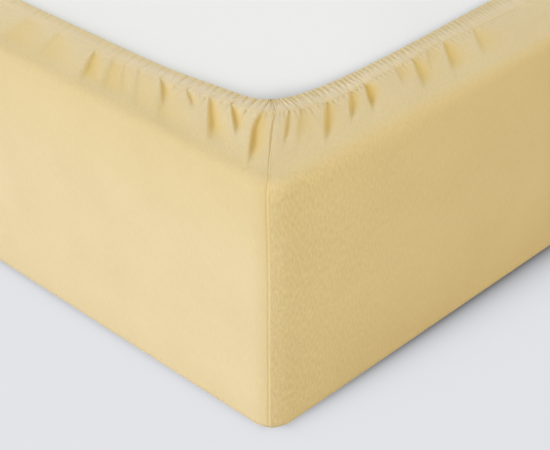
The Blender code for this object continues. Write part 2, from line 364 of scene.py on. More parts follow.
@dataclass(frozen=True)
class Flap:
    """The turned-in part of the sheet at one corner, from the brim to the hem's tube."""

    corner: Corner
    main: Puckers
    fine: Puckers
    # The line of stitches: its distance in from the walls, its bend round the corner, and where,
    # over what length and how far it wanders outwards.
    stitch_inset: float = 0.0525
    stitch_bend: float = 0.0180
    stitch_wander: tuple[tuple[float, float, float], ...] = (
        (0.068, 0.032, 0.0035),
        (-0.045, 0.022, -0.0025),
        (-0.185, 0.035, 0.0030),
        (0.190, 0.040, -0.0030),
    )
    # The tube's middle line: its distance in from each kind of wall, with a slacker middle along
    # the long ones, a bulge along the end ones, and its bend.
    tube_inset_end: float = 0.0670
    tube_inset_side: float = 0.0700
    tube_inset_side_middle: float = 0.0765
    slack: tuple[float, float] = (0.100, 0.340)
    tube_wander: float = 0.0040
    tube_wander_at: float = 0.070
    tube_wander_spread: float = 0.045
    tube_bend: float = 0.0165
    tube_width: float = 0.0038
    least_bend: float = 0.006
    # Past where the flap's lines begin to lean from the corner's diagonal to square on the wall,
    # and up to where they do.
    lean_start: float = 0.080
    lean_end_short: float = 0.380
    lean_end_long: float = 0.600
    # The flap's height: how it climbs to the hem, and how its ridges puff up between the folds.
    ease: float = 0.5
    puff: float = 0.0060
    puff_far: float = 0.0016
    puff_spread: float = 0.300
    crest_ends: float = 0.55
    stitch_rise: float = 0.0042
    stitch_pull: float = 0.55
    lift: float = 0.0030
    lift_spread: float = 0.060
    # The folds' valleys: their widths where they start and in their upper third, how much wider
    # their gentler flank is, and the steepness of the steeper and the gentler flank, first where
    # they start, then where they end.
    valley_start: float = 0.60
    valley_full: float = 1.20
    valley_opens: float = 0.35
    valley_skew: float = 0.55
    valley_powers: tuple[float, float] = (2.8, 1.4)
    open_powers: tuple[float, float] = (1.9, 1.7)
    held_from: float = 0.90
    held_share: float = 0.40
    lean_at: float = 0.9
    lean_spread: float = 0.8
    # The painted light that falls into a valley by way of its gentler flank, and the painted
    # shade on its steeper flank's rim.
    glow_share: float = 1.40
    glow_full: float = 0.40
    glow_widths: tuple[float, float] = (0.9, 1.4)
    rim_at: float = 0.55
    rim_spread: float = 0.6
    rim_width: float = 0.0008
    # The small valleys of the gathers, on the flap next to the stitches, and the painted glow
    # and shade in them.
    ruffle_height: float = 0.0020
    held_ruffle: float = 0.0006
    ruffle_opens: float = 0.0025
    ruffle_in_fold: float = 0.35
    rib_tint: float = 0.5
    # The same valleys on the hem: how much the elastic gathers, and which kind shows where.
    least_gather: float = 0.35
    gather_spread: tuple[float, float] = (0.230, 0.095)
    main_on_tube: float = 1.55
    main_on_band: float = 0.15
    fine_far: float = 0.30
    fine_near: float = 0.60
    fine_near_side: float = 0.85
    side_begins: tuple[float, float] = (-0.012, 0.020)
    tube_begins: tuple[float, float] = (0.38, 0.68)
    tube_under: tuple[float, float] = (0.85, 1.25)
    under_loss: float = 0.55
    fold_runs_on: float = 0.5
    fold_dies: float = 0.007
    slant: float = 0.40
    twist: float = 0.40
    twist_at: float = -0.006
    twist_spread: float = 0.015
    # The corner seam, which runs aslant over the flap and draws the cloth out into an edge.
    seam_outer: float = -0.0030
    seam_hem: float = 0.0060
    seam_bow: float = 1.4
    seam_spread: float = 0.030
    seam_pinch: float = 0.0007
    pinch_spread: float = 0.0035

    def end(self, leaving: bool) -> float:
        """Offset of the stitches at the middle of one of the walls, without its sign."""
        straight = self.corner.half(leaving) - self.stitch_inset
        return straight - self.stitch_bend**2 / straight

    def ends(self, offset: Array) -> Array:
        """The same, for the wall that each offset lies on."""
        return np.where(offset < 0, self.end(False), self.end(True))

    def gather(self, offset: Array) -> Array:
        """How strongly the elastic gathers there: 1 at the corner, less along the walls."""
        spread = np.where(self.corner.on_side(offset), *self.gather_spread)
        return mix(self.least_gather, 1.0, bump(offset, 0.0, spread))

    def ribs(self, offset: Array, inward: Array | float) -> Array:
        """Depth of the small valleys at a distance in, or out, from the stitches.

        Args:
            offset: Where, along the hem.
            inward: Distance in from the stitches, below zero out on the flap.

        Returns:
            The depth, from 0 to about 1.
        """
        slant = self.slant * self.square_on(offset)
        slant = slant + self.twist * bump(offset, self.twist_at, self.twist_spread)
        turned = offset - slant * inward
        below = max(0.0, -float(np.min(inward)))
        if below > 0.0:
            deep = self.main.relief(turned, below) + self.fine_near * self.fine.relief(turned, below)
            return deep * self.gather(offset)
        left, _, _ = self.valleys(turned, 1.0)
        folded = self.fold_runs_on * (1 - left) * np.exp(-inward / self.fold_dies)
        place = inward / self.hem_width(offset)
        to_tube = smoothstep(*self.tube_begins, place)
        to_tube = to_tube * (1 - self.under_loss * smoothstep(*self.tube_under, place))
        fine_near = mix(
            self.fine_near, self.fine_near_side, self.corner.towards_side(offset, *self.side_begins)
        )
        deep = mix(self.main_on_band, self.main_on_tube, to_tube) * self.main.relief(turned)
        deep = deep + mix(fine_near, self.fine_far, to_tube) * self.fine.relief(turned)
        return deep * self.gather(offset) + folded

    def stitch_height(self, offset: Array) -> Array:
        """Height of the stitches: the hem rides up at the corner and over the flap's ridges."""
        left, _, _ = self.valleys(offset, 1.0)
        return self._level(offset, 1.0, left)

    def _level(self, offset: Array, share: float, left: Array) -> Array:
        """Height of the flap, by its share and by what the folds leave of its ridges."""
        lie = self.corner.lie
        puff = mix(self.puff_far, self.puff, bump(offset, 0.0, self.puff_spread))
        pulled = mix(1.0, self.stitch_pull, smoothstep(self.crest_ends, 1.0, share))
        hem_rise = self.stitch_rise + self.lift * bump(offset, 0.0, self.lift_spread)
        hem_rise = hem_rise + self.stitch_pull * puff
        climb = mix(share, float(smoothstep(0.0, 1.0, share)), self.ease)
        ridge = mix(lie.inside, hem_rise, climb)
        return lie.mattress_top + ridge - puff * pulled * (1 - left)

    def drawn(self, column: Array, share: float) -> Array:
        """Offset of columns that keep to the seam, which runs aslant over the flap.

        Args:
            column: The columns' offsets, with the seam at zero.
            share: Share of the flap.

        Returns:
            Their offsets at that share.
        """
        aside = mix(self.seam_outer, self.seam_hem, share**self.seam_bow)
        return column + aside * bump(column, 0.0, self.seam_spread)

    def square_on(self, offset: Array) -> Array:
        """Which wall the hem runs along: -1 the arriving, 1 the leaving, between on the bend."""
        return offset / np.hypot(offset, 2 * self.stitch_bend)

    def _stitches(self, offset: Array) -> tuple[Array, Array]:
        """Distances from both walls of the stitch line, which bends smoothly past the corner."""
        root = np.hypot(offset, 2 * self.stitch_bend)
        inset = self.stitch_inset
        for place, spread, outward in self.stitch_wander:
            inset = inset - outward * bump(offset, self.corner.sign * place, spread)
        return inset + (root - offset) / 2, inset + (root + offset) / 2

    def stitches(self, offset: Array) -> tuple[Array, Array]:
        """Plan position of the stitch line."""
        return self.corner.to_plan(*self._stitches(offset))

    def inward(self, offset: Array, distance: Array) -> tuple[Array, Array]:
        """Plan position at a distance in from the stitch line, square to it."""
        across, along = self._stitches(offset)
        turn = self.square_on(offset)
        size = distance / np.hypot(1 + turn, 1 - turn)
        return self.corner.to_plan(across + size * (1 + turn), along + size * (1 - turn))

    def hem_width(self, offset: Array) -> Array:
        """Distance from the stitches in to the middle of the tube, which bends more tightly."""
        across, along = self._stitches(offset)
        turn = self.square_on(offset)
        length = np.hypot(1 + turn, 1 - turn)
        step_across, step_along = (1 + turn) / length, (1 - turn) / length
        short = across - self.tube_inset(True, offset)
        long = along - self.tube_inset(False, offset)
        slope = step_across * long + step_along * short
        miss = self.tube_bend**2 - short * long
        root = np.sqrt(slope * slope + 4 * step_across * step_along * miss)
        return 2 * miss / (slope + root)

    def beyond_hem(self, offset: Array, distance: float) -> tuple[Array, Array]:
        """Plan position on a line that runs round at a distance in from the hem's tube.

        Args:
            offset: Offset of the stitches that each place belongs to.
            distance: Distance in from the tube's inner edge, below zero under the hem.

        Returns:
            The x and y of each.
        """
        inset = self.tube_inset_side + self.tube_width + distance
        bend = max(self.least_bend, self.tube_bend + distance)
        straight = self.corner.halves(offset) - inset
        kept = offset * (straight - bend**2 / straight) / self.ends(offset)
        root = np.hypot(kept, 2 * bend)
        return self.corner.to_plan(inset + (root - kept) / 2, inset + (root + kept) / 2)

    def tube_inset(self, leaving: bool, offset: Array) -> Array:
        """How far the tube lies in from one of the walls."""
        away = np.abs(offset)
        if self.corner.wall(leaving) is Wall.END:
            bulge = bump(away, self.tube_wander_at, self.tube_wander_spread)
            return self.tube_inset_end + self.tube_wander * bulge
        return mix(self.tube_inset_side, self.tube_inset_side_middle, smoothstep(*self.slack, away))

    def brim_walk(self, offset: Array) -> tuple[Array, Array]:
        """Where the stitches at each offset pull on the brim.

        Args:
            offset: Offset at the stitches.

        Returns:
            The walk from the corner's middle, and the brim's rounding there.
        """
        lie = self.corner.lie
        away = np.abs(offset)
        lean_end = np.where(self.corner.on_side(offset), self.lean_end_long, self.lean_end_short)
        shift = self.corner.halves(offset) - lie.brim_radius - self.ends(offset)
        distance = away + shift * smoothstep(self.lean_start, lean_end, away)
        side = np.where(offset < 0, -1.0, 1.0)
        rounding = lie.soft_brim(side * distance)
        radius = lie.corner_radius - rounding
        in_arc = np.clip(distance / (radius * math.sqrt(2)), 0.0, 1.0)
        walk = np.where(
            distance < radius,
            lie.corner_radius * np.arcsin(in_arc),
            lie.half_arc + distance - radius,
        )
        return side * walk, rounding

    def pinch(self, walk: Array) -> Array:
        """How far the corner seam draws the cloth out into an edge."""
        return self.seam_pinch * np.exp(-np.abs(walk) / self.pinch_spread)

    def wall_plan(self, walk: Array, inset: Array | float) -> tuple[Array, Array]:
        """Plan position at an inset from the walls, by the walk from the corner's middle."""
        lie = self.corner.lie
        past = np.abs(walk) - lie.half_arc
        angle = math.pi / 4 + walk / lie.corner_radius
        radius = lie.corner_radius - inset
        straight = lie.corner_radius + past
        across = np.where(walk < 0, straight, inset)
        along = np.where(walk < 0, inset, straight)
        across = np.where(past <= 0, lie.corner_radius - radius * np.sin(angle), across)
        along = np.where(past <= 0, lie.corner_radius - radius * np.cos(angle), along)
        return self.corner.to_plan(across, along)

    def cut(self, fold: Fold, share: float) -> tuple[float, float, float]:
        """The size of a fold's valley.

        Args:
            fold: The fold.
            share: Share of the flap.

        Returns:
            How far along its reach that is, its half width there, and how much of its full depth
            it has.
        """
        opened = min(1.0, (1 - share) / fold.reach)
        wide = mix(self.valley_start, self.valley_full, smoothstep(0.0, self.valley_opens, opened))
        wide = wide * mix(1.0, fold.flare, smoothstep(self.valley_opens, 1.0, opened))
        fade = smoothstep(1 - fold.reach, 1 - fold.hold * fold.reach, share)
        return opened, fold.width * wide, fade

    def valleys(self, offset: Array, share: float) -> tuple[Array, Array, Array]:
        """How deep the folds cut into the flap's ridges, and how far their flanks lean over.

        Args:
            offset: Where, round the corner.
            share: Share of the flap.

        Returns:
            What is left of the ridges, from 1 down to 0, the flanks' shift in offset, and how
            much painted light comes by way of the other flank.
        """
        left = np.ones_like(offset)
        shift, glow = np.zeros_like(offset), np.zeros_like(offset)
        held = 1 - self.held_share * smoothstep(self.held_from, 1.0, share)
        for fold in self.corner.folds():
            middle = fold.at(share)
            opened, width, fade = self.cut(fold, share)
            fade = fade * held
            away = (offset - middle) * self.corner.sign
            steep = away < 0
            width = width * np.where(steep, 1 - self.valley_skew, 1 + self.valley_skew)
            powers = [mix(*pair, opened) for pair in zip(self.valley_powers, self.open_powers)]
            power = np.where(steep, *powers)
            left *= 1 - fold.depth * fade * np.exp(-((np.abs(away) / width) ** power))
            lit = bump(away, 0.0, width * np.where(steep, *self.glow_widths))
            glow = np.maximum(glow, self.glow_share * fold.depth * fade * lit)
            if fold.lean:
                flank = middle - math.copysign(self.lean_at * fold.width, fold.lean)
                shift += fold.lean * fade * bump(offset, flank, self.lean_spread * fold.width)
        return left, shift, glow

    def rim_shade(self, column: Array, share: float) -> Array:
        """Painted shade on the crisp rim of each fold's steeper flank: how dark it is."""
        offset = self.drawn(column, share)
        dark = np.zeros_like(offset)
        for fold in self.corner.folds():
            _, width, fade = self.cut(fold, share)
            width = width * (1 - self.valley_skew)
            away = (offset - fold.at(share)) * self.corner.sign + self.rim_at * width
            rim = bump(away, 0.0, max(self.rim_width, self.rim_spread * width))
            dark = np.maximum(dark, fold.edge * fade * rim)
        return dark

    def surface(self, column: Array, share: float) -> tuple[Array, Array]:
        """One row of the flap.

        Args:
            column: The columns, by their offset from the seam.
            share: Share of the flap.

        Returns:
            The points of the row, and how much painted glow and shade each has, from 0 to 1.
        """
        lie = self.corner.lie
        offset = self.drawn(column, share)
        left, shift, glow = self.valleys(offset, share)
        below = (1 - share) * self.stitch_inset
        ribs = self.ribs(offset - below * self.square_on(offset), -below)
        height = self._level(offset, share, left)
        held = mix(self.held_ruffle, self.ruffle_height, smoothstep(0.0, self.ruffle_opens, below))
        height = height - held * ribs * mix(self.ruffle_in_fold, 1.0, left)
        height = np.maximum(height, lie.mattress_top + lie.cloth)
        moved = offset + shift
        walk, rounding = self.brim_walk(moved)
        bx, by = self.wall_plan(walk, rounding - self.pinch(walk))
        sx, sy = self.stitches(moved)
        rise = smoothstep(0.0, self.glow_full, share)
        # Painted glow and shade: golden bounce light in the folds and in the small valleys.
        painted_glow_and_shade = np.clip(glow * rise + self.rib_tint * ribs, 0.0, 1.0)
        return np.stack([mix(bx, sx, share), mix(by, sy, share), height], axis=-1), painted_glow_and_shade


# ------------------------------------------------------------------------------- mesh helpers


def new_object(name: str, data: bpy.types.ID) -> bpy.types.Object:
    """An object, linked to the scene."""
    item = bpy.data.objects.new(name, data)
    bpy.context.scene.collection.objects.link(item)
    return item


def grid_object(
    name: str,
    rows: Array,
    uv: Array,
    closed: bool,
    wrap: float = 0.0,
    caps: tuple[bool, bool] = (False, False),
) -> bpy.types.Object:
    """A smooth object from rows of points.

    Args:
        name: The piece's name.
        rows: Points, by row and column.
        uv: Cloth coordinates of each point, in metres.
        closed: Whether the last column joins the first.
        wrap: What the first cloth coordinate grows by once round.
        caps: Whether the first row, and the last, is closed by one flat face. The last one's
            cloth coordinates are all zero.

    Returns:
        The object, linked to the scene.
    """
    count, width = rows.shape[:2]
    spans = width if closed else width - 1
    r = np.repeat(np.arange(count - 1), spans) * width
    c = np.tile(np.arange(spans), count - 1)
    after = (c + 1) % width
    corners = np.stack([r + c, r + after, r + width + after, r + width + c], axis=1)
    loops_uv = uv.reshape(-1, 2)[corners]
    for ahead in (1, 2):
        loops_uv[c == width - 1, ahead, 0] += wrap
    loops_uv = loops_uv.reshape(-1, 2)
    vertex_of_loop = corners.ravel()
    starts = np.arange(0, len(vertex_of_loop), 4)
    rings = (np.arange(width)[::-1], (count - 1) * width + np.arange(width))
    rings_uv = (rows[0, ::-1, :2], np.zeros((width, 2)))
    for ring, ring_uv, wanted in zip(rings, rings_uv, caps):
        if wanted:
            starts = np.append(starts, len(vertex_of_loop))
            vertex_of_loop = np.append(vertex_of_loop, ring)
            loops_uv = np.concatenate([loops_uv, ring_uv])
    mesh = bpy.data.meshes.new(name)
    mesh.vertices.add(count * width)
    mesh.vertices.foreach_set("co", rows.reshape(-1).astype(np.float32))
    mesh.loops.add(len(vertex_of_loop))
    mesh.loops.foreach_set("vertex_index", vertex_of_loop.astype(np.int32))
    mesh.polygons.add(len(starts))
    mesh.polygons.foreach_set("loop_start", starts.astype(np.int32))
    mesh.update(calc_edges=True)
    mesh.validate()
    layer = mesh.uv_layers.new(name="cloth")
    layer.data.foreach_set("uv", loops_uv.reshape(-1).astype(np.float32))
    mesh.shade_smooth()
    return new_object(name, mesh)


def add_mask(item: bpy.types.Object, name: str, values: Array) -> None:
    """Gives each point of an object a value that its material reads.

    Args:
        item: The object.
        name: The value's name.
        values: One number for each point.
    """
    layer = item.data.attributes.new(name, "FLOAT", "POINT")
    layer.data.foreach_set("value", values.reshape(-1).astype(np.float32))


def run_lengths(points: Array, axis: int) -> Array:
    """Distance run along one axis of a grid of points, from its start."""
    steps = np.linalg.norm(np.diff(points, axis=axis), axis=-1)
    pad = [(0, 0), (0, 0)]
    pad[axis] = (1, 0)
    return np.cumsum(np.pad(steps, pad), axis=axis)


def graded(start: float, end: float, steps: Steps) -> Array:
    """Places from start to end whose pitch depends on their distance from zero.

    Args:
        start: First place, below zero.
        end: Last place, above zero, left out.
        steps: Rows of (distance, pitch), nearest first.

    Returns:
        The places, with one at zero.
    """
    distances, pitches = zip(*steps)

    def outwards(limit: float) -> list[float]:
        """Places from zero to the limit, with the outer half drawn in to end on it."""
        found = [0.0]
        while found[-1] < limit:
            found.append(found[-1] + float(np.interp(found[-1], distances, pitches)))
        half = 0.5 * limit
        pull = half / (found[-1] - half)
        return [half + (x - half) * pull if x > half else x for x in found]

    before = [-x for x in outwards(-start)[:0:-1]]
    return np.array(before + outwards(end)[:-1])


def finish_piece(item: bpy.types.Object, material: bpy.types.Material) -> bpy.types.Object:
    """Puts a finish on a piece and lets it ride on the part's one body."""
    item.data.materials.append(material)
    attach(item, "root")
    return item


# ------------------------------------------------------------------------------ the finishes

BLACK = (0.0, 0.0, 0.0)


class Nodes:
    """Short hand for building one node tree."""

    def __init__(self, tree: bpy.types.NodeTree) -> None:
        """Starts on an empty tree."""
        self.tree = tree
        tree.nodes.clear()

    def add(self, kind: str, **values: object) -> bpy.types.Node:
        """Adds a node.

        Args:
            kind: Its type, without the ShaderNode part.
            values: Its settings by name, and its inputs as in_NAME or in_NUMBER.

        Returns:
            The node.
        """
        node = self.tree.nodes.new(kind if kind.startswith("Node") else "ShaderNode" + kind)
        for key, value in values.items():
            if key.startswith("in_"):
                name = key[3:]
                socket = node.inputs[int(name) if name.isdigit() else name.replace("_", " ")]
                if isinstance(value, bpy.types.NodeSocket):
                    self.tree.links.new(value, socket)
                else:
                    socket.default_value = value
            else:
                setattr(node, key, value)
        return node

    def math(self, operation: str, *values: object) -> bpy.types.NodeSocket:
        """Result of a Math node on sockets or numbers."""
        inputs = {f"in_{i}": value for i, value in enumerate(values)}
        return self.add("Math", operation=operation, **inputs).outputs[0]

    def blend(self, share: object, a: object, b: object) -> bpy.types.NodeSocket:
        """Colour mixed from a to b, each a socket or red, green and blue."""
        a, b = ((*c, 1.0) if isinstance(c, tuple) else c for c in (a, b))
        return self.add("Mix", data_type="RGBA", in_0=share, in_6=a, in_7=b).outputs[2]

    def mask(self, name: str) -> bpy.types.NodeSocket:
        """What add_mask gave a piece under that name, or 0."""
        return self.add("Attribute", attribute_name=name).outputs["Fac"]


def new_material(name: str) -> tuple[bpy.types.Material, Nodes]:
    """An empty material, and the builder of its nodes."""
    material = bpy.data.materials.new(name)
    material.use_nodes = True
    return material, Nodes(material.node_tree)


def new_group(name: str, inputs: dict[str, float | None], outputs: tuple[str, ...]) -> tuple:
    """A node group with named sockets.

    Args:
        name: The group's name.
        inputs: Default value of each input, or None for a vector.
        outputs: Name of each output, a number.

    Returns:
        The group, its node builder, and its input node.
    """
    group = bpy.data.node_groups.new(name, "ShaderNodeTree")
    for key, value in inputs.items():
        kind = "NodeSocketVector" if value is None else "NodeSocketFloat"
        socket = group.interface.new_socket(key, in_out="INPUT", socket_type=kind)
        if value is not None:
            socket.default_value = value
    for key in outputs:
        group.interface.new_socket(key, in_out="OUTPUT", socket_type="NodeSocketFloat")
    nodes = Nodes(group)
    return group, nodes, nodes.add("NodeGroupInput")


LOOP_WEIGHT = 0.9
RIDGE_WEIGHT = 2.2


def knit_group() -> bpy.types.NodeTree:
    """Single jersey seen on its face: upright wales of small V-shaped loops.

    Returns:
        A group that turns cloth coordinates into the loops' height.
    """
    group, n, source = new_group(
        "jersey_loops", {"Cloth": None, "Wale": 0.0009, "Course": 0.0007}, ("Height",)
    )
    split = n.add("SeparateXYZ", in_0=source.outputs["Cloth"])
    across = n.math("DIVIDE", split.outputs[0], source.outputs["Wale"])
    upward = n.math("DIVIDE", split.outputs[1], source.outputs["Course"])
    leg = n.math("PINGPONG", across, 0.5)
    loops = n.math("PINGPONG", n.math("ADD", leg, upward), 0.5)
    ridge = n.math("PINGPONG", n.math("ADD", across, 0.25), 0.25)
    height = n.math("MULTIPLY_ADD", loops, LOOP_WEIGHT, n.math("MULTIPLY", ridge, RIDGE_WEIGHT))
    n.add("NodeGroupOutput", in_Height=height)
    return group


SPECK_STRETCH = (0.95, 1.3, 1.0)


def nap_group() -> bpy.types.NodeTree:
    """Uneven yarn and brushed fibres: cloudy patches, streaks along the wales, and specks.

    Returns:
        A group that turns cloth coordinates into three kinds of unevenness, each about 0.5.
    """
    inputs = {"Cloth": None, "Streak_width": 0.0016, "Streak_length": 4.0, "Cloud_size": 0.060}
    group, n, source = new_group("yarn_unevenness", inputs, ("Streaks", "Clouds", "Specks"))
    cloth, width = source.outputs["Cloth"], source.outputs["Streak_width"]
    length = n.math("MULTIPLY", width, source.outputs["Streak_length"])
    stretch = n.add(
        "CombineXYZ", in_0=n.math("DIVIDE", 1.0, width), in_1=n.math("DIVIDE", 1.0, length), in_2=1.0
    )
    place = n.add("VectorMath", operation="MULTIPLY", in_0=cloth, in_1=stretch.outputs[0])
    finer = n.add("VectorMath", operation="MULTIPLY", in_0=place.outputs[0], in_1=SPECK_STRETCH)
    scale = n.math("DIVIDE", 1.0, source.outputs["Cloud_size"])
    streaks = n.add(
        "TexNoise", in_Vector=place.outputs[0], in_Scale=1.0, in_Detail=3.0, in_Roughness=0.62
    )
    clouds = n.add("TexNoise", in_Vector=cloth, in_Scale=scale, in_Detail=4.0)
    specks = n.add(
        "TexNoise", in_Vector=finer.outputs[0], in_Scale=1.0, in_Detail=1.0, in_Roughness=0.7
    )
    n.add(
        "NodeGroupOutput",
        in_Streaks=streaks.outputs[0],
        in_Clouds=clouds.outputs[0],
        in_Specks=specks.outputs[0],
    )
    return group


@dataclass(frozen=True)
class Colours:
    """Colours of one cloth: its face, lighter yarn, painted glow and shade, worn or drawn thin."""

    face: Rgb
    pale: Rgb
    deep: Rgb
    worn: Rgb


@dataclass(frozen=True)
class ClothFinish:
    """A knitted or woven cloth, matt, with its loops, its uneven yarn and its nap."""

    name: str
    colours: Colours
    wale: float
    course: float
    bump_height: float
    streak_strength: float
    cloud_strength: float
    speck_strength: float
    sheen: float
    sheen_roughness: float = 0.55
    roughness: float = 0.92
    specular: float = 0.15
    relief: float = 0.6
    streak_relief: float = 0.8
    loop_relief: float = 0.6

    def material(self, knit: bpy.types.NodeTree, nap: bpy.types.NodeTree) -> bpy.types.Material:
        """Builds the material.

        Args:
            knit: The group of loops.
            nap: The group of uneven yarn.

        Returns:
            The material, which reads the masks "crease", "draw", "nap" and "shade" where a piece
            has them.
        """
        material, n = new_material(self.name)
        cloth = n.add("UVMap", uv_map="cloth").outputs[0]
        loops = n.add("Group", node_tree=knit, in_Cloth=cloth, in_Wale=self.wale, in_Course=self.course)
        yarn = n.add("Group", node_tree=nap, in_Cloth=cloth).outputs
        cloud, streak, speck = (
            n.math("SUBTRACT", yarn[name], 0.5) for name in ("Clouds", "Streaks", "Specks")
        )
        speck = n.math("MULTIPLY", speck, n.mask("nap"))
        lightness = n.math("MULTIPLY_ADD", cloud, self.cloud_strength, 0.5)
        lightness = n.math("MULTIPLY_ADD", streak, self.streak_strength, lightness)
        lightness = n.math("MULTIPLY_ADD", speck, self.speck_strength, lightness)
        toned = n.blend(lightness, self.colours.face, self.colours.pale)
        # Painted glow and shade: golden bounce light deep in the folds, and the hem's shadow on the
        # cover.
        toned = n.blend(n.mask("painted_glow_and_shade"), toned, self.colours.deep)
        toned = n.blend(n.mask("draw"), toned, self.colours.worn)
        # Painted shade: the folds' rims, the brim, the long walls and the hem far from a corner.
        toned = n.blend(n.mask("shade"), toned, BLACK)
        height = n.math("MULTIPLY", loops.outputs[0], self.loop_relief)
        height = n.math("MULTIPLY_ADD", yarn["Streaks"], self.streak_relief, height)
        bumps = n.add("Bump", in_Strength=self.relief, in_Distance=self.bump_height, in_Height=height)
        shader = n.add(
            "BsdfPrincipled",
            in_Base_Color=toned,
            in_Roughness=self.roughness,
            in_Sheen_Weight=self.sheen,
            in_Sheen_Roughness=self.sheen_roughness,
            in_Specular_IOR_Level=self.specular,
            in_Normal=bumps.outputs[0],
        )
        n.add("OutputMaterial", in_Surface=shader.outputs[0])
        return material


@dataclass(frozen=True)
class ThreadFinish:
    """Sewing thread: a little glossier than the cloth, with its twist."""

    name: str
    colour: Rgb
    dark: Rgb
    twist_scale: float = 900.0
    twist_height: float = 0.0001
    relief: float = 0.4
    roughness: float = 0.6

    def material(self) -> bpy.types.Material:
        """Builds the material.

        Returns:
            The material.
        """
        material, n = new_material(self.name)
        place = n.add("TexCoord").outputs["Object"]
        twist = n.add("TexNoise", in_Vector=place, in_Scale=self.twist_scale, in_Detail=2.0).outputs[0]
        bumps = n.add("Bump", in_Strength=self.relief, in_Distance=self.twist_height, in_Height=twist)
        shader = n.add(
            "BsdfPrincipled",
            in_Base_Color=n.blend(twist, self.dark, self.colour),
            in_Roughness=self.roughness,
            in_Normal=bumps.outputs[0],
        )
        n.add("OutputMaterial", in_Surface=shader.outputs[0])
        return material


@dataclass(frozen=True)
class FloorFinish:
    """A plain floor, evenly lit to the camera, which darkens by its mask "shade"."""

    name: str
    colour: Rgb
    seen: Rgb
    seen_share: float
    roughness: float = 0.9
    specular: float = 0.1

    def material(self) -> bpy.types.Material:
        """Builds the material.

        Returns:
            The material.
        """
        material, n = new_material(self.name)
        lit = n.add(
            "BsdfPrincipled",
            in_Base_Color=(*self.colour, 1.0),
            in_Roughness=self.roughness,
            in_Specular_IOR_Level=self.specular,
        )
        even = n.add("Emission", in_Color=n.blend(n.mask("shade"), self.seen, BLACK))
        share = n.math("MULTIPLY", n.add("LightPath").outputs["Is Camera Ray"], self.seen_share)
        both = n.add("MixShader", in_0=share, in_1=lit.outputs[0], in_2=even.outputs[0])
        n.add("OutputMaterial", in_Surface=both.outputs[0])
        return material


JERSEY = ClothFinish(
    name="pale_yellow_jersey",
    colours=Colours(
        face=(0.735, 0.587, 0.320),
        pale=(0.820, 0.675, 0.396),
        # deep is the painted golden glow and shade in the folds
        deep=(0.770, 0.545, 0.165),
        worn=(0.820, 0.700, 0.530),
    ),
    wale=0.0015,
    course=0.0011,
    bump_height=0.00035,
    streak_strength=0.9,
    cloud_strength=0.8,
    speck_strength=3.0,
    sheen=0.12,
)
COVER = ClothFinish(
    name="white_mattress_cover",
    colours=Colours(
        face=(0.915, 0.915, 0.925),
        pale=(0.930, 0.930, 0.940),
        # deep is the painted shade that the hem casts on the cover
        deep=(0.450, 0.455, 0.455),
        worn=(0.920, 0.920, 0.915),
    ),
    wale=0.0012,
    course=0.0012,
    bump_height=0.00012,
    streak_strength=0.3,
    cloud_strength=0.3,
    speck_strength=0.0,
    sheen=0.0,
)
THREAD = ThreadFinish(name="yellow_thread", colour=(0.82, 0.70, 0.45), dark=(0.66, 0.53, 0.29))
FLOOR = FloorFinish(
    name="pale_floor", colour=(0.74, 0.76, 0.80), seen=(0.768, 0.776, 0.807), seen_share=0.97
)


# -------------------------------------------------------------------------------- the pieces


